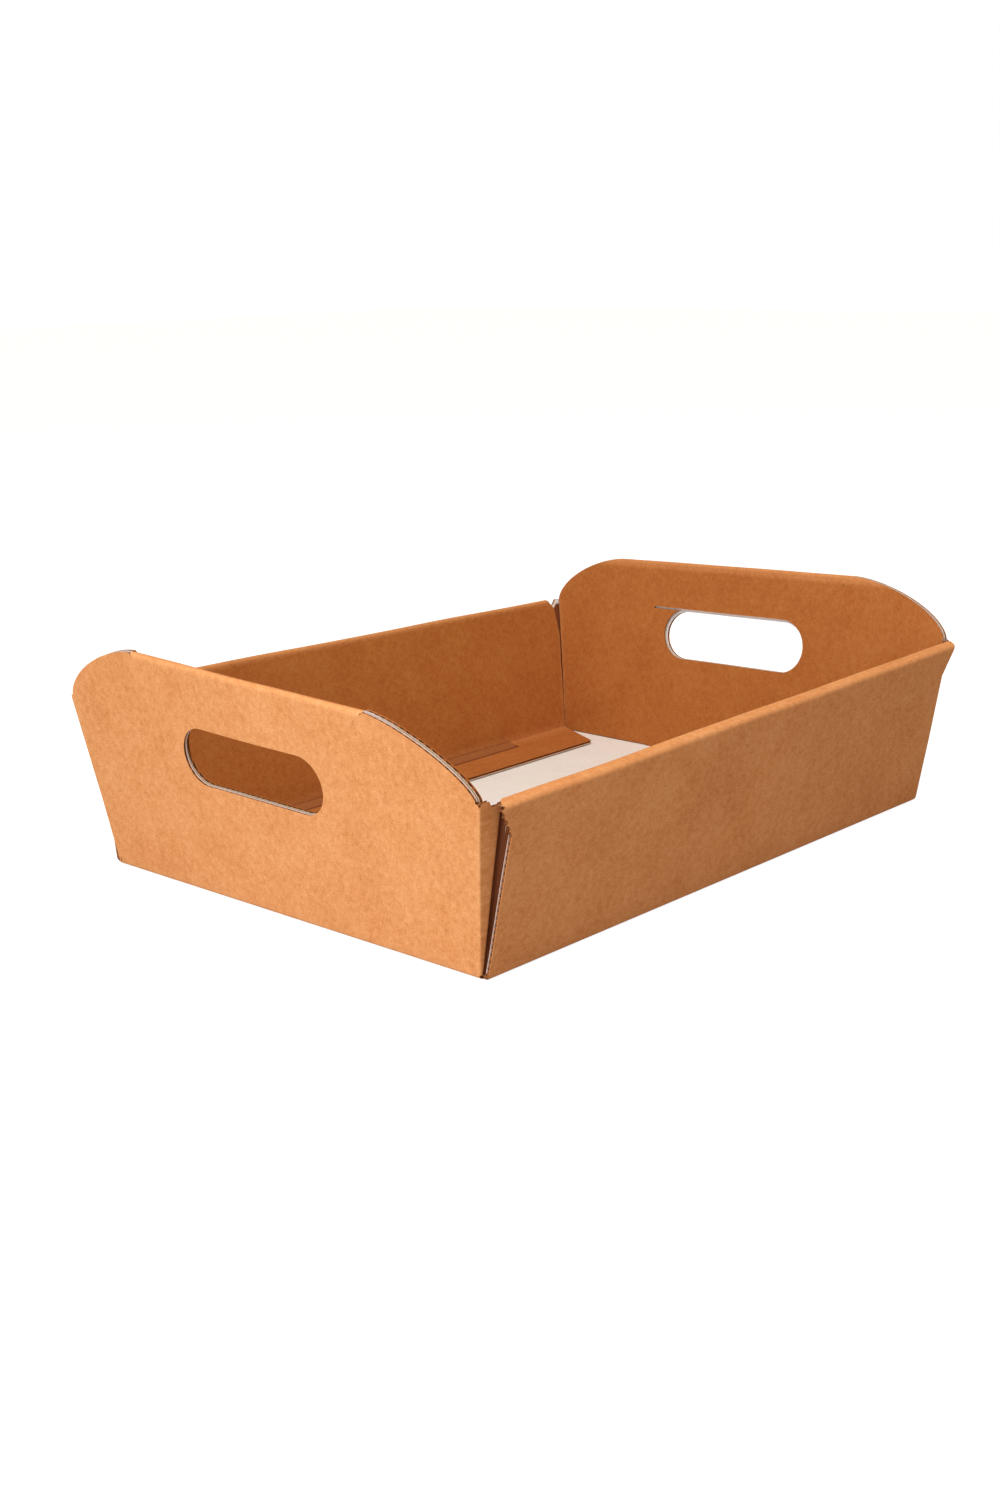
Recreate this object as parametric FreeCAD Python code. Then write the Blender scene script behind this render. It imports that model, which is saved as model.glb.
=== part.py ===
import FreeCAD, Part
import math
import os

# A shallow tray folded from one sheet of thin corrugated board.
# Both ends and both long sides are double: each wall goes up, turns over at the top
# and comes down again on the inside. Corner tabs of the ends sit inside the long sides.
# Millimetres. The origin is under the middle of the base, X runs along the length, Z is up.

# Board and folds
board = 1.6
crease_radius = 0.5
layer_gap = 0.35
rest_gap = 0.2

# Base, measured between the outer faces of the folds
base_length = 312.0
base_width = 230.0

# Long sides
side_lean = 11.5
side_height = 75.8
rail_width = 6.4
side_edge_inset = 1.0
ear_root_inset = 2.3
ear_root_height = 62.0
ear_reach = 4.5

# Inner panel of a long side, and the strip that turns from it onto the floor
inner_edge_flare = 3.6
inner_clip_height = 8.0
inner_clip_depth = 1.6
strip_width = 33.0
strip_taper = 16.0
strip_hinge = 46.8
strip_slit_width = 1.6

# Ends
end_lean = 8.2
end_height = 102.4
end_wall = 3.8
top_fold_inset = 47.5
shoulder_step = 0.8
shoulder_flare = 9.0
shoulder_round = 2.0
end_foot_inset = 3.0

# Hand holes, in the outer panel and in the inner panel of each end
hole_length = 86.0
hole_width = 26.0
hole_middle_height = 63.9
hole_shift = 3.0
inner_hole_margin = 1.0
inner_hole_slit = 9.0
slit_width = 0.6

# Corner tabs
tab_length = 62.0
tab_foot = 3.2
tab_root = 6.0
tab_bend_inset = 2.5
tab_bend_radius = 8.0
tab_drop = 2.2
tab_notch_gap = 0.7

# Locking tongues of the inner end panels, in slots of the base
tongue_width = 26.0
tongue_spacing = 76.0
tongue_play = 0.2

outer_radius = crease_radius + board
end_round = end_wall / 2.0
shoulder_height = side_height + shoulder_step
top_fold_half = base_width / 2.0 - top_fold_inset
shoulder_half = base_width / 2.0 + shoulder_flare


def vec(x, y, z=0.0):
    return FreeCAD.Vector(x, y, z)


def rise(lean, height):
    # How far a leaning wall has moved outwards at a height
    return height * math.tan(math.radians(lean))


def slant(lean, height):
    # Length along a leaning wall that reaches a height
    return height / math.cos(math.radians(lean))


def polygon(points):
    return Part.makePolygon(points + [points[0]])


def plate(wires):
    # A flat piece of board: the first wire is its outline, the others are openings
    face = Part.Face(wires[0])
    for wire in wires[1:]:
        face = face.cut(Part.Face(wire))
    return face.extrude(vec(0, 0, board))


def fold(half_from, half_to, turn, radius):
    # A crease along X. The sheet arrives along Y, with its printed face down.
    # A positive turn keeps the printed face on the outside of the bend.
    centre = radius if turn > 0 else -radius
    edge = polygon([vec(half_from, 0, 0), vec(half_to, 0, 0),
                    vec(half_to, 0, board), vec(half_from, 0, board)])
    return Part.Face(edge).revolve(vec(0, 0, centre), vec(1, 0, 0), turn)


def trim(turn, radius):
    # Length of a panel taken up by the rounding of a fold
    return radius * math.tan(math.radians(abs(turn)) / 2.0)


class Walk:
    # Walks over the printed face of the sheet, panel by panel, in a plane across a fold line
    def __init__(self, out, height, heading):
        self.out = out
        self.height = height
        self.heading = heading

    def step(self, length):
        angle = math.radians(self.heading)
        return Walk(self.out + length * math.cos(angle),
                    self.height + length * math.sin(angle), self.heading)

    def turned(self, angle):
        return Walk(self.out, self.height, self.heading + angle)

    def place(self, shape):
        shape.Placement = FreeCAD.Placement(
            vec(0, self.out, self.height),
            FreeCAD.Rotation(vec(1, 0, 0), self.heading))
        return shape


def mirrored(shape, normal):
    return shape.mirror(vec(0, 0, 0), normal)


def slot_wire(middle_x, middle_y, length, width):
    # A long hole with round ends
    reach = (length - width) / 2.0
    radius = width / 2.0
    left = middle_x - reach
    right = middle_x + reach
    low = middle_y - radius
    high = middle_y + radius
    return Part.Wire([
        Part.makeLine(vec(left, low), vec(right, low)),
        Part.Arc(vec(right, low), vec(right + radius, middle_y), vec(right, high)).toShape(),
        Part.makeLine(vec(right, high), vec(left, high)),
        Part.Arc(vec(left, high), vec(left - radius, middle_y), vec(left, low)).toShape()])


# The base

side_turn = 90.0 - side_lean
end_turn = 90.0 - end_lean
side_trim = trim(side_turn, outer_radius)
end_trim = trim(end_turn, outer_radius)

# Printed face of the inner end panel where it meets the base
tongue_inner = base_length / 2.0 - end_wall / math.cos(math.radians(end_lean))


def rectangle(x0, y0, x1, y1):
    return polygon([vec(x0, y0), vec(x1, y0), vec(x1, y1), vec(x0, y1)])


def base_panel():
    half_x = base_length / 2.0 - end_trim
    half_y = base_width / 2.0 - side_trim
    wires = [rectangle(-half_x, -half_y, half_x, half_y)]
    half_slot = tongue_width / 2.0 + tongue_play
    for end in (-1, 1):
        for side in (-1, 1):
            middle = side * tongue_spacing / 2.0
            wires.append(rectangle(end * (tongue_inner - tongue_play), middle - half_slot,
                                   end * (half_x + board), middle + half_slot))
    return plate(wires)


# A long side, as it stands at positive Y

floor_top = board + rest_gap
strip_top = floor_top + board
side_length_up = slant(side_lean, side_height)
inner_end_low = tongue_inner - layer_gap
strip_slit_half = inner_end_low - strip_hinge


def side_corners():
    # Each fold line is kept with the heading of the panel that arrives at it
    foot = Walk(base_width / 2.0, 0.0, 0.0)
    outer = foot.turned(side_turn)
    rail_edge = outer.step(side_length_up)
    rail = rail_edge.turned(90.0)
    inner_edge = rail.step(rail_width)
    inner = inner_edge.turned(90.0)
    down = slant(side_lean, inner.height - strip_top)
    strip_edge = inner.step(down)
    strip = strip_edge.turned(-side_turn)
    return foot, outer, rail_edge, rail, inner_edge, inner, down, strip_edge, strip


def mirrored_outline(right_points):
    # A closed outline from the points of its right half, listed from the bottom up
    left_points = [vec(-p.x, p.y) for p in reversed(right_points)]
    return polygon(right_points + left_points)


def side_outer_outline():
    half = base_length / 2.0
    root = slant(side_lean, ear_root_height)
    top = side_length_up - outer_radius
    return mirrored_outline([
        vec(half - side_edge_inset, side_trim),
        vec(half - ear_root_inset, root),
        vec(half + ear_reach, top)])


def side_inner_outline(down):
    # Distances are counted from the top of the panel downwards
    low = inner_end_low
    clip = inner_clip_height
    wide = low + inner_edge_flare
    floor_reach = down + slant(side_lean, strip_top - floor_top) - rise(side_lean, board)
    return mirrored_outline([
        vec(wide - inner_clip_depth, outer_radius),
        vec(wide, clip),
        vec(low, down - trim(side_turn, crease_radius)),
        vec(strip_slit_half, down - trim(side_turn, crease_radius)),
        vec(strip_slit_half, floor_reach)])


def strip_outline():
    # The middle of the strip is cut free from the wall, so it folds only near its two ends
    low = inner_end_low
    start = trim(side_turn, crease_radius)
    return mirrored_outline([
        vec(strip_slit_half, start + strip_slit_width),
        vec(strip_slit_half, start),
        vec(low, start),
        vec(low - strip_taper, strip_width)])


def side_wall():
    foot, outer, rail_edge, rail, inner_edge, inner, down, strip_edge, strip = side_corners()
    foot_half = base_length / 2.0 - side_edge_inset
    long_half = base_length / 2.0 + ear_reach
    inner_half = inner_end_low + inner_edge_flare - inner_clip_depth
    rail_inside = rail_width - outer_radius
    strip_fold = strip_edge.step(-trim(side_turn, crease_radius)).place(
        fold(strip_slit_half, inner_end_low, -side_turn, crease_radius))
    rail_lip = rail.place(plate([rectangle(inner_half, rail_inside, long_half, rail_width)]))
    return [
        foot.step(-side_trim).place(fold(-foot_half, foot_half, side_turn, outer_radius)),
        outer.place(plate([side_outer_outline()])),
        rail_edge.step(-outer_radius).place(fold(-long_half, long_half, 90.0, outer_radius)),
        rail.place(plate([rectangle(-long_half, outer_radius, long_half, rail_inside)])),
        inner_edge.step(-outer_radius).place(fold(-inner_half, inner_half, 90.0, outer_radius)),
        inner.place(plate([side_inner_outline(down)])),
        strip.place(plate([strip_outline()])),
        rail_lip,
        mirrored(rail_lip, vec(1, 0, 0)),
        strip_fold,
        mirrored(strip_fold, vec(1, 0, 0))]


# An end, built across X like a long side and then turned to stand at positive X

end_length_up = slant(end_lean, end_height)
shoulder_up = slant(end_lean, shoulder_height)


def corner_half(height):
    # Half of the distance between the two corner creases of an end at a height
    foot_half = base_width / 2.0 - end_foot_inset
    return foot_half + (shoulder_half - foot_half) * height / shoulder_height


def shoulder_arc(side, half, top, low):
    # The round shoulder leaves the top fold level and drops to the corner crease
    run = half - top_fold_half
    drop = top - low
    radius = (run * run + drop * drop) / (2.0 * drop)
    sweep = math.asin(run / radius) / 2.0
    middle = vec(side * (top_fold_half + radius * math.sin(sweep)),
                 top - radius * (1.0 - math.cos(sweep)))
    return Part.Arc(vec(side * top_fold_half, top), middle, vec(side * half, low)).toShape()


def end_outline(inset, foot):
    # An end panel with its foot down. Its slanted edges lie inside the corner creases by the
    # inset, up to a small step under the round shoulders.
    step = shoulder_up - board
    arc_half = shoulder_half - shoulder_round
    fold_line = end_length_up - end_round
    right = [vec(corner_half(0) - inset, foot), vec(shoulder_half - inset, step),
             vec(arc_half, step), vec(arc_half, shoulder_up)]
    top = [vec(top_fold_half, end_length_up), vec(top_fold_half, fold_line)]
    edges = [Part.makeLine(vec(-right[0].x, foot), right[0])]
    edges.append(Part.makeLine(vec(-top[1].x, fold_line), top[1]))
    for side in (-1, 1):
        for chain in (right, top):
            points = [vec(side * p.x, p.y) for p in chain]
            edges += [Part.makeLine(p, q) for p, q in zip(points, points[1:])]
        edges.append(shoulder_arc(side, arc_half, end_length_up, shoulder_up))
    return Part.Wire(Part.sortEdges(edges)[0])


def end_outer_panel():
    outline = end_outline(outer_radius + layer_gap, end_trim)
    hole = slot_wire(-hole_shift, slant(end_lean, hole_middle_height), hole_length, hole_width)
    return plate([outline, hole])


def end_inner_panel():
    # Lies beside the outer panel, so it is drawn with its foot down and its printed face up
    floor = slant(end_lean, floor_top) - rise(end_lean, end_wall - board)
    outline = end_outline(board + 2.0 * layer_gap, floor)
    middle = slant(end_lean, hole_middle_height)
    margin = 2.0 * inner_hole_margin
    panel = Part.Face(outline)
    panel = panel.cut(Part.Face(slot_wire(-hole_shift, middle, hole_length - margin,
                                          hole_width - margin)))
    slit_end = -hole_shift - hole_length / 2.0 - inner_hole_slit
    slit_top = middle + hole_width / 2.0 - inner_hole_margin
    panel = panel.cut(Part.Face(rectangle(slit_end, slit_top - slit_width,
                                          -hole_shift, slit_top)))
    for side in (-1, 1):
        near = side * (tongue_spacing - tongue_width) / 2.0
        far = side * (tongue_spacing + tongue_width) / 2.0
        panel = panel.fuse(Part.Face(rectangle(near, 0.0, far, floor)))
    return panel.extrude(vec(0, 0, board))


def leaning_plane(across, lean, foot, depth):
    # A wall face that leans out from a foot line, moved inwards by a depth.
    # A plane is kept as its outward normal and its distance from the origin.
    angle = math.radians(lean)
    normal = across * math.cos(angle) - vec(0, 0, math.sin(angle))
    return normal, foot * math.cos(angle) - depth


def plane_through(a, b, c, depth):
    normal = (b - a).cross(c - a).normalize()
    return normal, normal.dot(a) - depth


def meeting_point(first, second, third):
    # The one point shared by three planes
    (n1, d1), (n2, d2), (n3, d3) = first, second, third
    total = n2.cross(n3) * d1 + n3.cross(n1) * d2 + n1.cross(n2) * d3
    return total * (1.0 / n1.dot(n2.cross(n3)))


def tab_edge_lines():
    # Where the faces of the end panel, of the slanted root of the tab and of its lap inside
    # the long side meet each other, at the foot and at the top of the tab
    length = vec(1, 0, 0)
    width = vec(0, 1, 0)
    up = vec(0, 0, 1)
    levels = [(up, tab_foot), (up, shoulder_height)]
    start = (width, corner_half(0) - tab_root)
    tip = (length, base_length / 2.0 - tab_length)
    end_face = leaning_plane(length, end_lean, base_length / 2.0, 0.0)
    lap_face = leaning_plane(width, side_lean, base_width / 2.0, board + layer_gap)
    crease = [vec(base_length / 2.0 + rise(end_lean, z), corner_half(z), z)
              for z in (tab_foot, shoulder_height)]
    bend_top = meeting_point(lap_face, (length, base_length / 2.0 - tab_bend_inset), levels[1])
    tab_face = plane_through(crease[0], bend_top, crease[1], 0.0)
    rows = []
    for level in levels:
        outside = [start, end_face, tab_face, lap_face, tip]
        inside = [tip] + [(n, d - board) for n, d in (lap_face, tab_face, end_face)] + [start]
        rows.append([meeting_point(p, q, level)
                     for chain in (outside, inside) for p, q in zip(chain, chain[1:])])
    return rows


def edge_between(shape, a, b):
    for edge in shape.Edges:
        ends = [vertex.Point for vertex in edge.Vertexes]
        if len(ends) == 2 and any(p.isEqual(a, 1e-4) for p in ends) \
                and any(p.isEqual(b, 1e-4) for p in ends):
            return edge


def corner_tab():
    low, high = tab_edge_lines()
    faces = [Part.Face(polygon(low)), Part.Face(polygon(high))]
    for i in range(len(low)):
        j = (i + 1) % len(low)
        faces.append(Part.Face(polygon([low[i], low[j], high[j], high[i]])))
    tab = Part.makeSolid(Part.makeShell(faces))
    radii = {1: outer_radius, 2: tab_bend_radius, 5: tab_bend_radius - board, 6: crease_radius}
    for index, radius in radii.items():
        tab = tab.makeFillet(radius, [edge_between(tab, low[index], high[index])])
    notch_x = base_length / 2.0 + ear_reach + tab_notch_gap
    notch_z = side_height - tab_drop
    length = tab_length + tab_notch_gap + ear_reach + board
    notch = Part.makeBox(length, base_width, shoulder_height - notch_z + board,
                         vec(notch_x - length, 0, notch_z))
    return tab.cut(notch)


def end_wall_parts():
    foot = Walk(base_length / 2.0, 0.0, 0.0)
    outer = foot.turned(end_turn)
    inner = outer.turned(90.0).step(end_wall - board).turned(-90.0)
    foot_half = corner_half(0) - outer_radius - layer_gap
    top_fold = outer.step(end_length_up - end_round)
    parts = [
        foot.step(-end_trim).place(fold(-foot_half, foot_half, end_turn, outer_radius)),
        outer.place(end_outer_panel()),
        top_fold.place(fold(-top_fold_half, top_fold_half, 180.0, end_round)),
        inner.place(end_inner_panel())]
    for part in parts:
        part.rotate(vec(0, 0, 0), vec(0, 0, 1), -90.0)
    return parts


def folded_tray():
    long_side = side_wall()
    end = end_wall_parts()
    tab = corner_tab()
    along = vec(1, 0, 0)
    across = vec(0, 1, 0)
    pieces = [base_panel()]
    for part in long_side:
        pieces.append(part)
        pieces.append(mirrored(part, across))
    for part in end:
        pieces.append(part)
        pieces.append(mirrored(part, along))
    other_tab = mirrored(tab, across)
    pieces += [tab, other_tab, mirrored(tab, along), mirrored(other_tab, along)]
    return pieces[0].multiFuse(pieces[1:]).removeSplitter()


tray = folded_tray()
os.makedirs("parts", exist_ok=True)
tray.exportStep("parts/folded_tray.step")
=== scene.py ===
import bpy
import math
from collections import namedtuple
import numpy as np
from mathutils import Matrix, Vector


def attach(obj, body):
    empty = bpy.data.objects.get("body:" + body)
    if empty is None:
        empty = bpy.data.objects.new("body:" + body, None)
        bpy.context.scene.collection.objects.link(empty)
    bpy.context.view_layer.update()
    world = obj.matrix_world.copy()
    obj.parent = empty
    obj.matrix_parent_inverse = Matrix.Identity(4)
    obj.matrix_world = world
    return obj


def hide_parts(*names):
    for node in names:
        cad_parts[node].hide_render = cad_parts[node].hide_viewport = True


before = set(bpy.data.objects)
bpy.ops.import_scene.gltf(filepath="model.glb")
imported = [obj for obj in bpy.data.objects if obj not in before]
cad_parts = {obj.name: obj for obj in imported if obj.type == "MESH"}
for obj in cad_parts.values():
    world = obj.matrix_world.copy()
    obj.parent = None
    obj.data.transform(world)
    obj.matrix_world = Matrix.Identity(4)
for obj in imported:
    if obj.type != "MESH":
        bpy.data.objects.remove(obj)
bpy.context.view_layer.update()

# A tray folded from one sheet of thin fluted board, brown liner outside and white liner inside.
# Lengths are in millimetres and turns in degrees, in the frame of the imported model: X along,
# Y across, Z up. The near end is at low X and the near long side at low Y.

MM = 0.001

# Board
BOARD = 1.6
LINER = 0.13               # each liner's share of the thickness
FLUTE_PITCH = 3.2
RECESS = 0.5               # how far the fluted middle lies back in a cut edge
PALE_FROM = 0.82           # share of the thickness from which a cut edge shows white liner
OUTER_RADIUS = 2.1
CREASE_RADIUS = 0.5
FOLD_STEPS = 8
SHARP_FROM = 38.0          # turn between two faces that is shaded as an edge

# Base and long sides
BASE_HALF = 156.0
BASE_HALF_WIDTH = 115.0
SIDE_LEAN = 11.5
SIDE_HEIGHT = 75.8
RAIL = 6.4
EAR_UP = 62.0              # level at which the outer panel widens to cover the corner
EAR_ROUND = 1.5
EAR_START = 154.5
KNEE_UP = 38.0             # above it the inner panel's end no longer follows the end wall
CLIP_RUN = 7.0             # length of the clipped corner below the rail
SCALLOP = 3.3              # spacing of the bites along the torn ear
SCALLOP_DEPTH = 1.5
STRIP = 33.0
STRIP_TAPER = 16.0
STRIP_TOP = 3.4
STRIP_LIFT = 0.8
STRIP_SLIT = 9.8
HINGE_START = 105.0        # half length of the slit in a floor strip
FLAP = 8.7                 # board left between the strip's fold and its slit
FLAP_SLOPE = 6.0
FLOOR_TOP = 1.8

# Ends
END_LEAN = 8.2
END_HEIGHT = 102.4
END_WALL = 3.8             # between the printed faces of the outer and inner panel
END_ROUND = 1.9
CORNER_FOOT = 112.0
CORNER_TOP = 124.0
SHOULDER = 76.6
CORNER_INSET = 2.0
FOOT_CORNER = 111.7        # half width of the end's foot fold
INNER_INSET = 1.9
TOP_FOLD = 67.5            # half length of the straight top fold
ARC_STEPS = 23

HOLE_FOOT = 51.0
HOLE_RADIUS = 12.8
INNER_HOLE_RADIUS = 13.5
HOLE_STEPS = 40
HOLES = {-1: (-25.2, 34.4), 1: (-29.4, 32.0)}   # middles of the round ends
SLIT_RUN = 22.0            # slit that runs on from the top of an inner hole
SLIT_WIDTH = 0.8
SLIT_POINT = 0.3

# Corner tabs, tongues and what lies between layers
TAB_LEVEL = 6.5
TAB_LENGTH = 62.0
TAB_NOTCH = 161.2          # distance from the middle at which a tab's top steps down
TAB_DROP = 3.0
CREASE_DROP = 1.5
TAB_SPACE = 0.5            # between a tab and the outer panel, well inside
END_CUTS = (155.0, 153.7)  # an outer panel's end cut, at the foot and below the ear
TAB_TURN = (-1.5, -1.5)    # a tab's bend beyond that cut, at the foot and the top
NEAR_TURN = (0.1, 1.8)     # the same at the near corner, where the tab is pushed in
NEAR_DIP = 1.2
LAYER_GAP = 0.35
TONGUE = (25.0, 51.0)
SLOT = (24.8, 51.2)
INNER_FOOT = BASE_HALF - END_WALL / math.cos(math.radians(END_LEAN))

# Unevenness of the folded board
TOP_TWIST = 2.6            # left and right corners stand higher, near and far ones lower
TWIST_LEVEL = 75.0
WAVINESS = 0.22


def radians(degrees):
    return np.radians(degrees)


def trim(turn, radius):
    """Length of a panel that a fold's rounding takes: radius * tan(turn / 2)."""
    return radius * math.tan(math.radians(turn) / 2.0)


def unit(vectors):
    return vectors / np.linalg.norm(vectors, axis=-1, keepdims=True)


def stations(*stops):
    """Distances along a panel. Each stop is (end, step); steps are equal up to that end."""
    parts = [np.zeros(1)]
    for end, step in stops:
        start = parts[-1][-1]
        count = max(1, int(round(abs(end - start) / step)))
        parts.append(np.linspace(start, end, count + 1)[1:])
    return np.concatenate(parts)


class Sheet:
    """The printed face of the board, gathered patch by patch and then given its thickness.

    A patch is a grid of points, their normals, their place on the flat sheet and how much
    the liner is strained there, which also marks painted light and shade: 1 in a fold, where
    the brown liner is paler and the white one darker with painted shade, 2 where both liners
    are darkened with painted shade and -1 where only the white back is. Patches that share an
    edge have the same points along it.
    """

    def __init__(self):
        self.parts = []
        self.quads = []
        self.count = 0

    def patch(self, points, normals, flat, strain_and_painted_light, keep=None):
        rows, columns = points.shape[:2]
        index = self.count + np.arange(rows * columns).reshape(rows, columns)
        quads = np.stack([index[:-1, :-1], index[1:, :-1], index[1:, 1:], index[:-1, 1:]], -1)
        down = points[1:, :-1] - points[:-1, :-1]
        along = points[:-1, 1:] - points[:-1, :-1]
        facing = np.sum(np.cross(down, along) * normals[:-1, :-1])
        quads = quads.reshape(-1, 4) if keep is None else quads[keep]
        self.quads.append(quads if facing > 0 else quads[:, ::-1])
        strain_and_painted_light = np.broadcast_to(strain_and_painted_light, (rows, columns))
        block = np.concatenate([points, normals, flat, strain_and_painted_light[..., None]], -1)
        self.parts.append(block.reshape(-1, 9))
        self.count += rows * columns

    def welded(self):
        """Points closer than a thousandth of a millimetre become one point."""
        block = np.concatenate(self.parts)
        quads = np.concatenate(self.quads)
        key = np.round(block[:, :3] * 1000.0).astype(np.int64)
        _, first, inverse = np.unique(key, axis=0, return_index=True, return_inverse=True)
        inverse = inverse.reshape(-1)
        normals = np.zeros((len(first), 3))
        np.add.at(normals, inverse, block[:, 3:6])
        strain_and_painted_light = np.full(len(first), -1.0)
        np.maximum.at(strain_and_painted_light, inverse, block[:, 8])
        merged = block[first]
        return merged[:, :3], unit(normals), merged[:, 6:8], strain_and_painted_light, inverse[quads]

    def solid(self):
        """Printed face, back face = point - thickness * normal, and a cut edge all around.

        The cut edge steps through the layers: liner, fluted middle set back, liner. The
        finishes are 0 for the printed face, 1 for the back and 2 for the cut edge.
        """
        points, normals, flat, strain_and_painted_light, quads = self.welded()
        count = len(points)
        edges = quads[:, [[0, 1], [1, 2], [2, 3], [3, 0]]].reshape(-1, 2)
        code = edges.min(1) * count + edges.max(1)
        _, inverse, uses = np.unique(code, return_inverse=True, return_counts=True)
        rim = edges[uses[inverse.reshape(-1)] == 1]
        along = unit(points[rim[:, 1]] - points[rim[:, 0]])
        outward = np.cross(along, normals[rim[:, 0]])
        away = np.zeros((count, 3))
        np.add.at(away, rim[:, 0], outward)
        np.add.at(away, rim[:, 1], outward)
        on_rim = np.unique(rim)
        away = unit(away[on_rim])
        place = np.zeros(count, np.int64)
        place[on_rim] = np.arange(len(on_rim))
        layers = [(LINER, 0.0), (LINER, RECESS), (1.0 - LINER, RECESS), (1.0 - LINER, 0.0)]
        blocks = [points, points - BOARD * normals]
        depths = [np.zeros(count), np.ones(count)]
        for depth, back in layers:
            blocks.append(points[on_rim] - BOARD * depth * normals[on_rim] - back * away)
            depths.append(np.full(len(on_rim), depth))
        starts = [2 * count + k * len(on_rim) + place for k in range(len(layers))]
        ladder = [np.arange(count)] + starts + [np.arange(count) + count]
        walls = [np.stack([upper[rim[:, 0]], lower[rim[:, 0]], lower[rim[:, 1]],
                           upper[rim[:, 1]]], 1) for upper, lower in zip(ladder, ladder[1:])]
        repeat = len(layers)
        return {
            "points": np.concatenate(blocks),
            "faces": np.concatenate([quads, quads[:, ::-1] + count] + walls),
            "finish": np.concatenate([np.zeros(len(quads)), np.ones(len(quads)),
                                      np.full(len(rim) * len(walls), 2)]).astype(np.int32),
            "flat": np.concatenate([flat, flat] + [flat[on_rim]] * repeat),
            "depth": np.concatenate(depths),
            "strain_and_painted_light": np.concatenate([strain_and_painted_light, strain_and_painted_light] + [strain_and_painted_light[on_rim]] * repeat)}


def follow(out, height, heading, moves):
    """Walks over the printed face across its folds, in the plane across a fold line.

    A panel is straight: p = p0 + d * (cos a, sin a). A fold is an arc about a centre to the
    side that it turns to. Rows hold out, height, heading, length walked and strain.
    """
    rows = [np.array([[out, height, heading, 0.0, 0.0]])]
    for turn, reach in moves:
        out, height, heading, walked = rows[-1][-1, :4]
        angle = math.radians(heading)
        if turn == 0:
            d = np.asarray(reach)[1:]
            part = np.stack([out + d * math.cos(angle), height + d * math.sin(angle),
                             np.full(len(d), heading), walked + d, np.zeros(len(d))], 1)
        else:
            side = math.copysign(1.0, turn) * reach
            t = np.linspace(0.0, 1.0, FOLD_STEPS + 1)[1:]
            bend = radians(heading + turn * t)
            part = np.stack([out - side * math.sin(angle) + side * np.sin(bend),
                             height + side * math.cos(angle) - side * np.cos(bend),
                             heading + turn * t, walked + reach * radians(abs(turn)) * t,
                             np.ones(len(t))], 1)
            rows[-1][-1, 4] = 1.0
        rows.append(part)
    return np.concatenate(rows)


# Columns and rows that the patches share

SIDE_TURN = 90.0 - SIDE_LEAN
END_TURN = 90.0 - END_LEAN
LEAN = math.radians(END_LEAN)
PLATE_HALF = BASE_HALF - trim(END_TURN, OUTER_RADIUS)
PLATE_HALF_WIDTH = BASE_HALF_WIDTH - trim(SIDE_TURN, OUTER_RADIUS)
INNER_HALF = INNER_FOOT - LAYER_GAP
HINGE = HINGE_START / INNER_HALF
SLOT_LINE = (INNER_FOOT - 0.2) / PLATE_HALF
FOOT_HALF = CORNER_FOOT - CORNER_INSET


def both_ways(half):
    """Distances on one side of the middle, mirrored to the other side as well."""
    return np.concatenate([-half[::-1], half[1:] if half[0] == 0 else half])


SHARE = both_ways(stations((HINGE, 0.031), (SLOT_LINE, 0.029), (1.0, 0.02)))
FOOT_Y = both_ways(stations((SLOT[0], 4.2), (SLOT[1], 4.4), (FOOT_HALF, 4.5),
                            (FOOT_CORNER, 2.0)))
FOLD_Y = both_ways(stations((TOP_FOLD, 4.5)))


def base_plate(sheet):
    """Flat rectangle z = 0, printed side down, with four slots for the locking tongues."""
    y = np.concatenate([[-PLATE_HALF_WIDTH], FOOT_Y, [PLATE_HALF_WIDTH]])
    x = SHARE * PLATE_HALF
    grid_x, grid_y = np.meshgrid(x, y, indexing="ij")
    points = np.stack([grid_x, grid_y, np.zeros_like(grid_x)], -1)
    normals = np.broadcast_to([0.0, 0.0, -1.0], points.shape)
    middle_x = np.abs(x[1:] + x[:-1])[:, None] / 2.0
    middle_y = np.abs(y[1:] + y[:-1])[None, :] / 2.0
    slot = (middle_x > SLOT_LINE * PLATE_HALF) & (middle_y > SLOT[0]) & (middle_y < SLOT[1])
    sheet.patch(points, normals, points[..., :2], 0.0, ~slot)


# A long side: foot, outer panel, rail, inner panel and floor strip in one run of the sheet

RISE = math.cos(math.radians(SIDE_LEAN))
FOOT_TRIM = trim(SIDE_TURN, OUTER_RADIUS)
PANEL_UP = SIDE_HEIGHT / RISE - FOOT_TRIM - OUTER_RADIUS
INNER_TOP = SIDE_HEIGHT + RAIL * math.sin(math.radians(SIDE_LEAN))
PANEL_DOWN = (INNER_TOP - STRIP_TOP) / RISE - OUTER_RADIUS - trim(SIDE_TURN, CREASE_RADIUS)
STRIP_RUN = STRIP - trim(SIDE_TURN, CREASE_RADIUS)
EAR_ROOT = EAR_UP / RISE - FOOT_TRIM

Marks = namedtuple("Marks", "foot root top rail lip inner low strip tip")

# An end cut of a long side: how far the sheet reaches from the middle at the top of the ear, at
# the outer and inner edge of the rail, in the notch inside it and below the clipped corner, how
# much the inner panel is set back at its knee, and how the board was cut there.
EndCut = namedtuple("EndCut", "ear rail_out rail_in notch clip back edge")


def fold_marks():
    """Lengths walked from the base plate to the folds of a long side and to the ear's root."""
    quarter = OUTER_RADIUS * math.pi / 2.0
    foot = OUTER_RADIUS * math.radians(SIDE_TURN)
    top = foot + PANEL_UP
    rail = top + quarter
    lip = rail + RAIL - 2 * OUTER_RADIUS
    inner = lip + quarter
    low = inner + PANEL_DOWN
    strip = low + CREASE_RADIUS * math.radians(SIDE_TURN)
    return Marks(foot, foot + EAR_ROOT, top, rail, lip, inner, low, strip, strip + STRIP_RUN)


MARKS = fold_marks()


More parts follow.
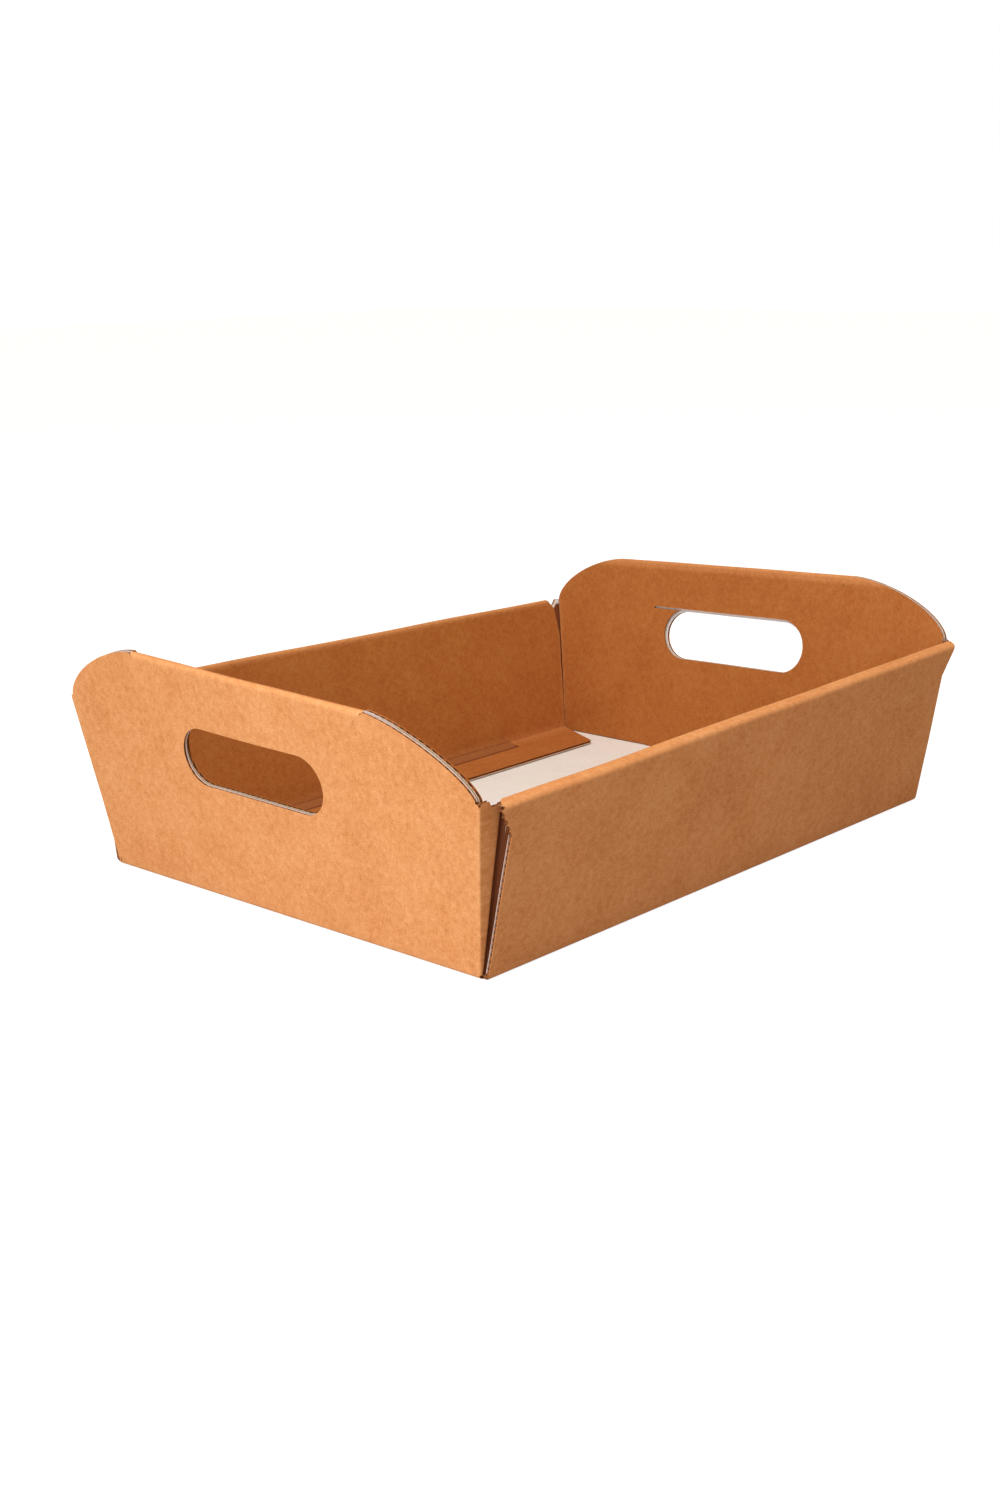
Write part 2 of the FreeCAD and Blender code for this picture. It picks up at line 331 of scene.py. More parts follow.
def side_rows():
    return follow(PLATE_HALF_WIDTH, 0.0, 0.0, [
        (SIDE_TURN, OUTER_RADIUS),
        (0, stations((1.4, 1.4), (EAR_ROOT - 0.8, 4.6), (PANEL_UP, 0.55))),
        (90.0, OUTER_RADIUS),
        (0, stations((RAIL - 2 * OUTER_RADIUS, 1.1))),
        (90.0, OUTER_RADIUS),
        (0, stations((1.4, 1.4), (8.0, 2.2), (PANEL_DOWN, 4.6))),
        (-STRIP_LIFT - SIDE_TURN, CREASE_RADIUS),
        (0, stations((STRIP_SLIT, STRIP_SLIT), (STRIP_RUN, 3.5)))])


def cut_line(walked, cut):
    """Distance of an end cut from the middle for each length walked, on straight lines between
    the folds. A torn ear has scallops |sin(pi * length / spacing)| and a little roughness."""
    knee = INNER_HALF + KNEE_UP * RISE * math.tan(LEAN) - cut.back
    stops = [(0.0, PLATE_HALF), (MARKS.foot, END_CUTS[0]), (MARKS.root, END_CUTS[1]),
             (MARKS.root + EAR_ROUND, EAR_START), (MARKS.top, cut.ear),
             (MARKS.rail, cut.rail_out), (MARKS.lip, cut.rail_in), (MARKS.inner, cut.notch),
             (MARKS.inner + CLIP_RUN, cut.clip), (MARKS.low - KNEE_UP, knee),
             (MARKS.low, INNER_HALF), (MARKS.strip, INNER_HALF),
             (MARKS.tip, INNER_HALF - STRIP_TAPER)]
    reach = np.interp(walked, *np.array(stops).T)
    if cut.edge == "torn":
        along = walked - MARKS.root
        inside = np.clip((along + 1.0) / 2.0, 0, 1) * np.clip((MARKS.rail - walked) / 2.0, 0, 1)
        scallop = np.abs(np.sin(math.pi * along / SCALLOP))
        rough = 0.25 * np.sin(4.1 * walked) + 0.2 * np.sin(7.3 * walked + 1.0)
        reach = reach + inside * (SCALLOP_DEPTH * scallop - 0.9 + rough)
    return reach


def long_side(sheet, across, cuts):
    """Surface over the walk and over the share u from one end cut to the other:
    x = low + (high - low) * (u + 1) / 2."""
    out, height, heading, walked, strain_and_painted_light = side_rows().T
    low, high = -cut_line(walked, cuts[0]), cut_line(walked, cuts[1])
    x = low[:, None] + (high - low)[:, None] * (SHARE + 1.0) / 2.0
    points = np.stack([x, across * out[:, None] + 0 * x, height[:, None] + 0 * x], -1)
    turn = radians(heading)[:, None]
    normals = np.stack([0 * x, across * np.sin(turn) + 0 * x, -np.cos(turn) + 0 * x], -1)
    flat = np.stack([x, across * (PLATE_HALF_WIDTH + walked)[:, None] + 0 * x], -1)
    crushed_and_shaded = np.zeros_like(x)
    for column, cut in zip((0, -1), cuts):
        if cut.edge == "torn":
            ear = np.clip(walked - MARKS.root + 1.0, 0.0, 1.0)
            crushed_and_shaded[:, column] = ear * (walked < MARKS.rail)
        if cut.edge == "pressed":
            crushed_and_shaded[:, column] = (walked > MARKS.inner) * (walked < MARKS.low)
    length = (walked[1:] + walked[:-1])[:, None] / 2.0
    middle = np.abs(SHARE[1:] + SHARE[:-1]) / 2.0
    free = (length > MARKS.low) & (length < MARKS.strip + STRIP_SLIT) & (middle < HINGE)
    sheet.patch(points, normals, flat, np.maximum(strain_and_painted_light[:, None], crushed_and_shaded), ~free)
    last = int(np.argmin(np.abs(walked - MARKS.low)))
    slit = np.abs(SHARE) < HINGE + 1e-6
    strip_flap(sheet, across, points[last, slit], flat[last, slit])


def strip_flap(sheet, across, points, flat):
    """Board between the fold and the slit of a floor strip: p = fold + d * downward slope."""
    d = np.array([0.0, 0.8, 0.9, 1.0])[:, None, None] * FLAP
    slope = math.radians(FLAP_SLOPE)
    step = np.array([0.0, -across * math.cos(slope), -math.sin(slope)])
    face = np.array([0.0, -across * math.sin(slope), math.cos(slope)])
    flap = points + d * step
    # Painted shade: these values darken the flap, about half near the fold and fully along the
    # slit.
    flap_shade = np.array([1.58, 1.62, 2.0, 2.0])[:, None]
    sheet.patch(flap, np.broadcast_to(face, flap.shape), flat + d * np.array([0.0, across]),
                flap_shade)


# An end: foot, outer panel with a hand hole, top fold, inner panel and corner tabs

END_UP = END_HEIGHT / math.cos(LEAN)
FOLD_LINE = END_UP - END_ROUND
SHOULDER_UP = SHOULDER / math.cos(LEAN)
END_FOOT = trim(END_TURN, OUTER_RADIUS)
TAB_SHARE = stations((1.0, 0.045))


def end_place(end, y, h, depth):
    """A point of an end: y across, h up the leaning wall, depth in from its printed face."""
    x = BASE_HALF + h * math.sin(LEAN) - depth * math.cos(LEAN)
    z = h * math.cos(LEAN) + depth * math.sin(LEAN)
    return np.stack([end * x, y + 0 * x, z + 0 * x], -1)


def slanted(h, inset, foot):
    """Half width of an end panel at h, on the straight line from its foot to its shoulder."""
    share = (h - foot) / (SHOULDER_UP - foot)
    return CORNER_FOOT - inset + (CORNER_TOP - CORNER_FOOT) * share


def outline(foot_y, foot, inset, fold_from, fullness):
    """Closed loop around an end panel and the places of its corners in it.

    A shoulder is a superellipse between the top fold and the corner crease, with its
    fullness n: (across / run)^n + (up / drop)^n = 1.
    """
    up = foot + (SHOULDER_UP - foot) * TAB_SHARE
    slope = np.stack([slanted(up, inset, foot), up], 1)
    fold = FOLD_Y.copy()
    fold[-1], fold[0] = fold_from[1], -fold_from[0]
    sweep = np.linspace(0.0, math.pi / 2.0, ARC_STEPS)
    arcs = []
    for start, power in zip(fold_from, fullness):
        across = np.clip(np.cos(sweep), 0.0, 1.0) ** (2.0 / power)
        rise = np.sin(sweep) ** (2.0 / power)
        arcs.append(np.stack([start + (slope[-1, 0] - start) * across,
                              SHOULDER_UP + (END_UP - SHOULDER_UP) * rise], 1))
    mirror = np.array([-1.0, 1.0])
    chains = [("foot_right", slope), ("shoulder_right", arcs[1]),
              ("fold_right", np.stack([fold, np.full(len(fold), FOLD_LINE)], 1)[::-1]),
              ("fold_left", arcs[0][::-1] * mirror), ("shoulder_left", slope[::-1] * mirror)]
    loop = np.stack([foot_y, np.full(len(foot_y), foot)], 1)
    corners = {}
    for name, chain in chains:
        corners[name] = len(loop) - 1
        loop = np.concatenate([loop, chain[1:] if np.allclose(chain[0], loop[-1]) else chain])
    return loop, corners


def hole_path(low, high, radius, slit):
    """Key numbers and points of a hand hole: 0 to 1 along its low side, 1 to 2 round its
    high Y end, 2 to 3 back along its top and 3 to 4 round its low Y end. A slit runs on from
    the top as a thin pointed cut."""
    middle = HOLE_FOOT / math.cos(LEAN) + radius
    stop = math.degrees(math.asin(1.0 - SLIT_WIDTH / radius)) if slit else 90.0
    right = radians(np.linspace(-90.0, stop, HOLE_STEPS))
    left = radians(np.linspace(90.0, 270.0, HOLE_STEPS))
    keys = [np.array([0.0]), np.linspace(1.0, 1.62 if slit else 2.0, HOLE_STEPS)]
    y = [np.array([low]), high + radius * np.cos(right)]
    h = [np.array([middle - radius]), middle + radius * np.sin(right)]
    if slit:
        top = middle + radius
        tip = high + SLIT_RUN
        keys.append(np.array([1.72, 1.75, 1.78, 2.0]))
        y.append(np.array([tip - SLIT_POINT, tip, tip - SLIT_POINT, high]))
        h.append(np.array([top - SLIT_WIDTH, top - SLIT_WIDTH / 2.0, top, top]))
    keys.append(np.linspace(3.0, 4.0, HOLE_STEPS))
    y.append(low + radius * np.cos(left))
    h.append(middle + radius * np.sin(left))
    return np.concatenate(keys), np.concatenate(y), np.concatenate(h)


def holed_panel(sheet, end, depth, loop, corners, radius, slit):
    """Ring surface between a hole and an outline: p = hole + r * (outline - hole).

    Anchors tie places of the outline to key numbers of the hole, and the rest lies evenly
    between them.
    """
    foot_right, shoulder_right, fold_right, fold_left, shoulder_left = corners.values()
    fold = np.arange(fold_right, fold_left + 1)
    foot = np.arange(0, foot_right + 1)
    ends = HOLES[end]
    low_start, low_end = (foot[np.argmin(np.abs(loop[foot, 0] - y))] for y in ends)
    top_end, top_start = (fold[np.argmin(np.abs(loop[fold, 0] - y))] for y in ends)
    anchors = [(0, -0.294), (low_start, 0.0), (low_end, 1.0), (foot_right, 1.28)]
    if slit:
        anchors += [(shoulder_right - 6, 1.62), (shoulder_right - 2, 1.72),
                    (shoulder_right, 1.78), (fold_right - 1, 1.9)]
    else:
        anchors += [(shoulder_right, 1.545), (fold_right - 1, 1.768)]
    anchors += [(top_start, 2.0), (top_end, 3.0), (fold_left + 1, 3.256),
                (shoulder_left, 3.456), (len(loop), 3.706)]
    closed = np.concatenate([loop, loop[:1]])
    position, key = np.array(anchors, float).T
    keys = np.interp(np.arange(len(closed)), position, key) % 4.0
    path_key, path_y, path_h = hole_path(*ends, radius, slit)
    hole = np.stack([np.interp(keys, path_key, path_y), np.interp(keys, path_key, path_h)], 1)
    r = stations((0.03, 0.03), (0.96, 0.08), (1.0, 0.04))[:, None, None]
    y, h = np.moveaxis(hole + r * (closed - hole), -1, 0)
    points = end_place(end, y, h, depth)
    outer = depth == 0
    normal = (1.0 if outer else -1.0) * np.array([end * math.cos(LEAN), 0.0, -math.sin(LEAN)])
    run = BASE_HALF + (h if outer else 2.0 * END_UP - h)
    pressed = np.zeros(y.shape)
    if slit:
        pressed[-1, foot_right:shoulder_right] = 1.0
        pressed[-1, shoulder_left + 1:] = 1.0
        pressed[0, (keys > 1.6) & (keys < 3.0)] = 1.0
    sheet.patch(points, np.broadcast_to(normal, points.shape), np.stack([end * run, y], -1),
                pressed)


def end_wall(sheet, end, fold_from, fullness):
    """Foot fold, outer panel, top fold and inner panel with its tongues, then both tabs."""
    foot = follow(PLATE_HALF, 0.0, 0.0, [(END_TURN, OUTER_RADIUS)])
    bend_strip(sheet, end, foot, FOOT_Y, PLATE_HALF)
    loop, corners = outline(FOOT_Y[1:-1], END_FOOT, CORNER_INSET, fold_from, fullness)
    holed_panel(sheet, end, 0.0, loop, corners, HOLE_RADIUS, False)
    fold_y = loop[corners["fold_right"]:corners["fold_left"] + 1, 0][::-1]
    top = end_place(1.0, 0.0, np.array([FOLD_LINE]), 0.0)[0]
    over = follow(top[0], top[2], END_TURN, [(180.0, END_ROUND)])
    bend_strip(sheet, end, over, fold_y, BASE_HALF + FOLD_LINE)
    floor = FLOOR_TOP / math.cos(LEAN) - (END_WALL - BOARD) * math.tan(LEAN)
    inner_y = both_ways(stations((TONGUE[0], 4.2), (TONGUE[1], 4.4),
                                 (CORNER_FOOT - INNER_INSET, 4.5)))
    loop, corners = outline(inner_y, floor, INNER_INSET, fold_from, fullness)
    holed_panel(sheet, end, END_WALL, loop, corners, INNER_HOLE_RADIUS, True)
    for side in (-1, 1):
        locking_tongue(sheet, end, side, inner_y, floor)
    for side in (-1, 1):
        corner_tab(sheet, end, side, end + side == -2)


def locking_tongue(sheet, end, side, inner_y, floor):
    """Flat tongue below an inner end panel, straight down the lean to the underside."""
    reach = side * inner_y
    tongue = inner_y[(reach > TONGUE[0] - 0.01) & (reach < TONGUE[1] + 0.01)]
    y, h = np.meshgrid(tongue, [floor, floor / 2.0, 0.0], indexing="ij")
    points = end_place(end, y, h, END_WALL)
    normal = np.array([-end * math.cos(LEAN), 0.0, math.sin(LEAN)])
    flat = np.stack([end * (BASE_HALF + 2.0 * END_UP - h), y], -1)
    sheet.patch(points, np.broadcast_to(normal, points.shape), flat, 0.0)


def bend_strip(sheet, end, rows, y, start):
    """A fold of an end: the walk's rows swept straight across from y[0] to y[-1]."""
    out, height, heading, walked, strain_and_painted_light = rows.T[:, :, None]
    across = y + 0 * out
    turn = radians(heading)
    points = np.stack([end * out + 0 * across, across, height + 0 * across], -1)
    normals = np.stack([end * np.sin(turn) + 0 * across, 0 * across,
                        -np.cos(turn) + 0 * across], -1)
    flat = np.stack([end * (start + walked) + 0 * across, across], -1)
    pressed = strain_and_painted_light + 0 * across
    pressed[:, [0, -1]] = 1.0
    sheet.patch(points, normals, flat, pressed)


def rounded(corner, before, after, length, count):
    """Quadratic curve through a corner: (1-t)^2 a + 2 t (1-t) corner + t^2 b."""
    t = np.linspace(0.0, 1.0, count)[:, None, None]
    room = np.minimum(np.linalg.norm(before - corner, axis=1),
                      np.linalg.norm(after - corner, axis=1))[:, None]
    reach = np.minimum(length, 0.45 * room)
    start = corner + reach * unit(before - corner)
    stop = corner + reach * unit(after - corner)
    return (1 - t) ** 2 * start + 2 * t * (1 - t) * corner + t ** 2 * stop


def spaced(first, last, count):
    """Points in equal steps on straight lines."""
    return first + np.linspace(0.0, 1.0, count)[:, None, None] * (last - first)


def tab_section(h, wall_y, pushed):
    """Path of a corner tab at the heights h: from the end panel's slanted edge round the
    corner crease, along the slanted root and into the space inside the long side."""
    x, z = BASE_HALF + h * math.sin(LEAN), h * math.cos(LEAN)
    lap = BASE_HALF_WIDTH + z * math.tan(math.radians(SIDE_LEAN)) - BOARD / RISE
    cut = np.interp(z, [0.0, EAR_UP], END_CUTS)
    turn = np.interp(z, [0.0, SHOULDER], NEAR_TURN if pushed else TAB_TURN)
    turning = np.minimum(cut + turn, x - 0.9)
    dip = (NEAR_DIP if pushed else 0.0) * np.clip(z / 20.0, 0.3, 1.0)
    beside = wall_y + CORNER_INSET + 0.3 if pushed else lap - 0.6 - z / 90.0
    within = lap - TAB_SPACE / RISE
    start = np.stack([x, wall_y, z], 1)
    crease = np.stack([x, wall_y + CORNER_INSET, z], 1)
    bend = np.stack([turning, beside, z], 1)
    deep = np.stack([turning - 1.1 * dip - 0.5, beside - dip, z], 1)
    flush = np.stack([0 * z + BASE_HALF - TAB_LEVEL, within, z], 1)
    tip = np.stack([0 * z + BASE_HALF - TAB_LENGTH, within, z], 1)
    first = rounded(crease, start, bend, 0.8, 7)
    second = rounded(bend, crease, deep, 0.7, 5)
    third = rounded(deep, bend, flush, 0.9, 4)
    fourth = rounded(flush, deep, tip, 1.3, 4)
    return np.concatenate([start[None], first, spaced(first[-1], second[0], 8)[1:-1], second,
                           spaced(second[-1], third[0], 3)[1:-1], third,
                           spaced(third[-1], fourth[0], 5)[1:-1], fourth,
                           spaced(fourth[-1], tip, 11)[1:]])


def corner_tab(sheet, end, side, pushed):
    """Ruled surface over the tab's path and its height, worked out at the high X and high Y
    corner and mirrored. The top edge drops at the crease and beyond the notch:
    top = shoulder - drop - wave - crease drop * sin(pi * share of the crease)."""
    low = END_FOOT
    level = low + (SHOULDER_UP - low) * TAB_SHARE
    edge_y = slanted(level, CORNER_INSET, END_FOOT)
    full = tab_section(level, edge_y, pushed)
    crease, root, inside = slice(1, 8), slice(8, 14), slice(17, 36)   # columns of the path
    strain_and_painted_light = np.zeros(full.shape[:2])
    strain_and_painted_light[crease] = 1.0
    strain_and_painted_light[:root.stop, 0] = 1.0
    strain_and_painted_light[:root.stop, -1] = 0.6
    # Painted shade on the white back of the tab's root.
    strain_and_painted_light[root, 1:-1] = -1.0
    # Painted shadow: the pushed tab's surface in the gap behind the side panel is darkened.
    if pushed:
        strain_and_painted_light[inside] = 2.0
    reach = full[:, -1, 0]
    drop = TAB_DROP * np.clip((TAB_NOTCH - reach) / 0.8, 0.0, 1.0)
    wave = 0.25 * np.sin(1.9 * reach) * np.clip((168.0 - reach) / 2.0, 0.0, 1.0)
    share = np.clip(np.arange(len(reach)) / 9.0, 0.0, 1.0)
    top = SHOULDER_UP - drop - wave * (drop < 0.1) - CREASE_DROP * np.sin(math.pi * share)
    heights = (level[None, :] - low) * ((top - low) / (SHOULDER_UP - low))[:, None] + low
    points = np.empty_like(full)
    for column, axis in np.ndindex(len(full), 3):
        points[column, :, axis] = np.interp(heights[column], level, full[column, :, axis])
    normals = unit(np.cross(np.gradient(points, axis=0), np.gradient(points, axis=1)))
    flip = np.array([end, side, 1.0])
    steps = np.linalg.norm(np.diff(full[:, 0], axis=0), axis=1)
    run = np.concatenate([[0.0], np.cumsum(steps)])
    flat = np.stack([end * (BASE_HALF + heights), side * (edge_y + run[:, None])], -1)
    sheet.patch(points * flip, normals * flip, flat, strain_and_painted_light)


def settled(points):
    """Small unevenness of the real board: the tops are twisted by x * y * z, and the walls
    wave as sums of two sines. Nothing moves at the level of the floor."""
    x, y, z = points.T
    lift = -TOP_TWIST * x * y / (BASE_HALF * BASE_HALF_WIDTH) * z / TWIST_LEVEL
    amount = WAVINESS * np.clip(z / 30.0, 0.0, 1.0)
    wave_x = np.sin(y / 17.0 + z / 31.0 + 0.6) + 0.6 * np.sin(y / 9.0 - z / 21.0 + 2.0)
    wave_y = np.sin(x / 19.0 + z / 27.0 + 1.1) + 0.6 * np.sin(x / 11.0 - z / 24.0 + 4.0)
    wave_z = 0.5 * np.sin(x / 23.0 + y / 29.0)
    return points + np.stack([amount * wave_x, amount * wave_y, lift + amount * wave_z], 1)


def build_tray():
    """Base, both long sides and both ends, named after their corners in the picture."""
    sheet = Sheet()
    base_plate(sheet)
    near = EndCut(160.8, 160.2, 158.2, 151.4, 152.0, 6.0, "torn")
    right = EndCut(160.3, 161.5, 163.2, 157.4, 161.0, 0.0, "pressed")
    left = EndCut(160.5, 160.5, 160.5, 157.4, 161.0, 0.0, "pressed")
    far = EndCut(159.5, 158.2, 156.0, 157.0, 163.0, -0.4, "pressed")
    long_side(sheet, -1, [near, right])
    long_side(sheet, 1, [left, far])
    end_wall(sheet, -1, (TOP_FOLD, 74.0), (1.45, 1.55))
    end_wall(sheet, 1, (TOP_FOLD, 77.0), (1.6, 1.7))
    return sheet.solid()


def mesh_object(name, parts, materials):
    """Mesh with one material a finish and, on each point, its place on the flat sheet, its
    depth in the board and its strain value, which also marks where light and shade are painted."""
    mesh = bpy.data.meshes.new(name)
    mesh.from_pydata(settled(parts["points"]) * MM, [], parts["faces"])
    for material in materials:
        mesh.materials.append(material)
    mesh.polygons.foreach_set("material_index", parts["finish"])
    values = np.concatenate([parts["flat"], parts["depth"][:, None]], 1)
    mesh.attributes.new("sheet", "FLOAT_VECTOR", "POINT").data.foreach_set(
        "vector", values.ravel().astype(np.float32))
    mesh.attributes.new("strain_and_painted_light", "FLOAT", "POINT").data.foreach_set(
        "value", parts["strain_and_painted_light"].astype(np.float32))
    mesh.update()
    mesh.shade_smooth()
    mesh.set_sharp_from_angle(angle=math.radians(SHARP_FROM))
    piece = bpy.data.objects.new(name, mesh)
    bpy.context.scene.collection.objects.link(piece)
    return piece


# Materials

class Field:
    """A number or colour carried by a socket, so that shader sums read as plain arithmetic."""

    def __init__(self, tree, socket):
        self.tree = tree
        self.socket = socket

    def math(self, operation, *terms):
        return self.tree.node("ShaderNodeMath", {"operation": operation},
                              dict(enumerate(terms))).out()

    def __add__(self, other):
        return self.math("ADD", self, other)

    __radd__ = __add__

    def __sub__(self, other):
        return self.math("SUBTRACT", self, other)

    def __rsub__(self, other):
        return self.math("SUBTRACT", other, self)

    def __mul__(self, other):
        return self.math("MULTIPLY", self, other)

    __rmul__ = __mul__

    def __abs__(self):
        return self.math("ABSOLUTE", self)

    def sine(self):
        return self.math("SINE", self)

    def ramp(self, low, high):
        """0 below low, 1 above high and straight between them."""
        return self.tree.node("ShaderNodeMapRange", {"clamp": True},
                              {"Value": self, "From Min": low, "From Max": high}).out()


class Made:
    """A node just added, from which the wanted output is taken."""

    def __init__(self, tree, node):
        self.tree = tree
        self.node = node

    def out(self, name=0):
        return Field(self.tree, self.node.outputs[name])


class Tree:
    """Node tree of one material or of the world."""

    def __init__(self, owner):
        owner.use_nodes = True
        self.tree = owner.node_tree
        self.tree.nodes.clear()

    def node(self, kind, settings=None, inputs=None):
        made = self.tree.nodes.new(kind)
        for key, value in (settings or {}).items():
            setattr(made, key, value)
        for key, value in (inputs or {}).items():
            if isinstance(value, Field):
                self.tree.links.new(value.socket, made.inputs[key])
            else:
                made.inputs[key].default_value = value
        return Made(self, made)

    def mix(self, share, first, second):
        return self.node("ShaderNodeMix", {"data_type": "RGBA"},
                         {"Factor": share, 6: first, 7: second}).out(2)

    def noise(self, where, scale, detail=2.0, roughness=0.5):
        return self.node("ShaderNodeTexNoise", None,
                         {"Vector": where, "Scale": scale, "Detail": detail,
                          "Roughness": roughness}).out("Fac")

    def stretched(self, where, factors):
        return self.node("ShaderNodeVectorMath", {"operation": "MULTIPLY"},
                         {0: where, 1: factors}).out()


def colour(red, green, blue):
    return (red, green, blue, 1.0)


# Brown liner, white liner, cut edges, crushed edges and painted shade
KRAFT = colour(0.700, 0.290, 0.098)
KRAFT_LIGHT = colour(0.800, 0.400, 0.170)
KRAFT_DARK = colour(0.520, 0.175, 0.044)
WHITE = colour(0.86, 0.83, 0.79)
WHITE_LIGHT = colour(0.90, 0.88, 0.85)
WHITE_GREY = colour(0.74, 0.70, 0.65)
EDGE_WHITE = colour(0.66, 0.47, 0.37)
EDGE_LIGHT = colour(0.84, 0.70, 0.61)
# painted shade in the hollows between the flutes of a cut edge
HOLLOW_SHADE = colour(0.075, 0.027, 0.011)
CRUSHED = colour(0.330, 0.120, 0.038)
# painted shade: the pushed corner tab's gap, the flap before a strip's slit and, on the white
# back, folds and the tab's root
PAINTED_SHADE = colour(0.170, 0.045, 0.012)
INNER_SHADE = colour(0.62, 0.48, 0.28)   # painted shade, multiplied with the liner of the inner panels


def paper(tree, plain, light, dark, grain, clouds):
    """Liner paper: soft clouds, short fibres along and across the sheet and fine grain. The
    inner panels, which lie past a top fold or a rail on the flat sheet, are darkened with
    painted shade."""
    place = tree.node("ShaderNodeTexCoord").out("Object")
    sheet = tree.node("ShaderNodeAttribute", {"attribute_name": "sheet"}).out("Vector")
    cloud = tree.noise(place, 45.0, 3.0, 0.6)
    blotch = tree.noise(place, 330.0, 3.0, 0.65)
    along = tree.noise(tree.stretched(sheet, (0.35, 1.6, 0.0)), 1.0, 3.0, 0.7)
    across = tree.noise(tree.stretched(sheet, (1.5, 0.5, 0.0)), 1.0, 3.0, 0.7)
    fine = tree.noise(place, 1500.0, 2.0, 0.6)
    tone = (cloud - 0.5) * clouds + (blotch - 0.5) * grain
    tone = tone + (along + across - 1.0) * grain + (fine - 0.5) * grain * 0.6
    lighter = tree.mix(tone.ramp(0.0, 0.36), plain, light)
    shade = tree.mix(tone.ramp(0.0, -0.36), lighter, dark)
    parts = tree.node("ShaderNodeSeparateXYZ", None, {"Vector": sheet})
    past_fold = abs(parts.out("X")).ramp(BASE_HALF + END_UP, BASE_HALF + END_UP + 5.0)
    past_rail = abs(parts.out("Y")).ramp(PLATE_HALF_WIDTH + MARKS.lip,
                                         PLATE_HALF_WIDTH + MARKS.inner)
    inner = past_fold.math("MAXIMUM", past_fold, past_rail)
    # Painted shade: the inner panels are multiplied with a darker colour.
    shade = tree.node("ShaderNodeMix", {"data_type": "RGBA", "blend_type": "MULTIPLY"},
                      {"Factor": inner, 6: shade, 7: INNER_SHADE}).out(2)
    return sheet, tone, fine, shade


def flute_wave(sheet, tree):
    """Wave of the fluted middle, sin(2 * pi * y / pitch) with y across the flat sheet."""
    across = tree.node("ShaderNodeSeparateXYZ", None, {"Vector": sheet}).out("Y")
    return (across * (2.0 * math.pi / FLUTE_PITCH)).sine()


def liner_material(name, plain, light, dark, grain, clouds, crease, crushed_and_shaded, rough):
    """Liner paper that is paler in folds, where the strain value is 1 and noise breaks it up:
    partly wear of the liner and partly a painted highlight where a fold's rounding catches
    light. It is darkened with painted shade as the strain value goes from the first to the
    second value given for crushing and shade."""
    material = bpy.data.materials.new(name)
    tree = Tree(material)
    sheet, tone, fine, shade = paper(tree, plain, light, dark, grain, clouds)
    strain_and_painted_light = tree.node("ShaderNodeAttribute", {"attribute_name": "strain_and_painted_light"}).out("Fac")
    breaks = tree.noise(tree.stretched(sheet, (0.9, 0.9, 0.0)), 1.0, 3.0, 0.7).ramp(0.45, 0.7)
    # Paler folds: partly wear, partly a painted highlight where a fold's rounding catches
    # light.
    wear_and_painted_light = tree.mix(strain_and_painted_light.ramp(0.0, 1.0) * (breaks * 0.6 + 0.25) * crease, shade, light)
    # Painted shade where the strain value lies in the range given for crushing and shade.
    wear_and_painted_light = tree.mix(abs(strain_and_painted_light).ramp(*crushed_and_shaded), wear_and_painted_light, PAINTED_SHADE)
    height = tone * 0.5 + fine * 0.25 + flute_wave(sheet, tree) * 0.02
    bump = tree.node("ShaderNodeBump", None, {"Strength": 0.35, "Distance": 0.00035,
                                              "Height": height}).out()
    shader = tree.node("ShaderNodeBsdfPrincipled", None, {
        "Base Color": wear_and_painted_light, "Roughness": tone * -0.25 + rough, "Normal": bump,
        "Specular IOR Level": 0.25})
    tree.node("ShaderNodeOutputMaterial", None, {"Surface": shader.out()})
    return material


def edge_material():
    """Cut edge: brown liner, a wave of fluting with painted shade in its hollows, then white
    liner. Where the strain value passes 0.5 the edge is crushed brown, which also takes in the
    rims of the places painted with shade.
    """
    material = bpy.data.materials.new("cut_edge")
    tree = Tree(material)
    sheet, tone, _, shade = paper(tree, KRAFT, KRAFT_LIGHT, KRAFT_DARK, 0.5, 0.2)
    depth = tree.node("ShaderNodeSeparateXYZ", None, {"Vector": sheet}).out("Z")
    wave = flute_wave(sheet, tree) * 0.30 + 0.5
    off = abs(depth - wave)
    # The hollows between the flutes are painted shade.
    medium = tree.mix(off.ramp(0.06, 0.16), KRAFT_DARK, HOLLOW_SHADE)
    white = tree.mix(tone.ramp(-0.3, 0.3), EDGE_WHITE, EDGE_LIGHT)
    inner = tree.mix(depth.ramp(LINER - 0.01, LINER + 0.01), shade, medium)
    clean = tree.mix(depth.ramp(PALE_FROM, PALE_FROM + 0.05), inner, white)
    strain_and_painted_light = tree.node("ShaderNodeAttribute", {"attribute_name": "strain_and_painted_light"}).out("Fac")
    layered = tree.mix(strain_and_painted_light.ramp(0.0, 0.5), clean, CRUSHED)
    shader = tree.node("ShaderNodeBsdfPrincipled", None, {
        "Base Color": layered, "Roughness": 0.9, "Specular IOR Level": 0.15})
    tree.node("ShaderNodeOutputMaterial", None, {"Surface": shader.out()})
    return material


brown = liner_material("brown_liner", KRAFT, KRAFT_LIGHT, KRAFT_DARK, 0.6, 0.4, 0.35,
                       (1.2, 2.0), 0.82)
white = liner_material("white_liner", WHITE, WHITE_LIGHT, WHITE_GREY, 0.4, 0.3, 0.3,
                       (0.2, 0.9), 0.8)

tray = mesh_object("folded_sheet", build_tray(), [brown, white, edge_material()])
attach(tray, "root")
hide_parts("folded_tray")


# Floor, light and camera

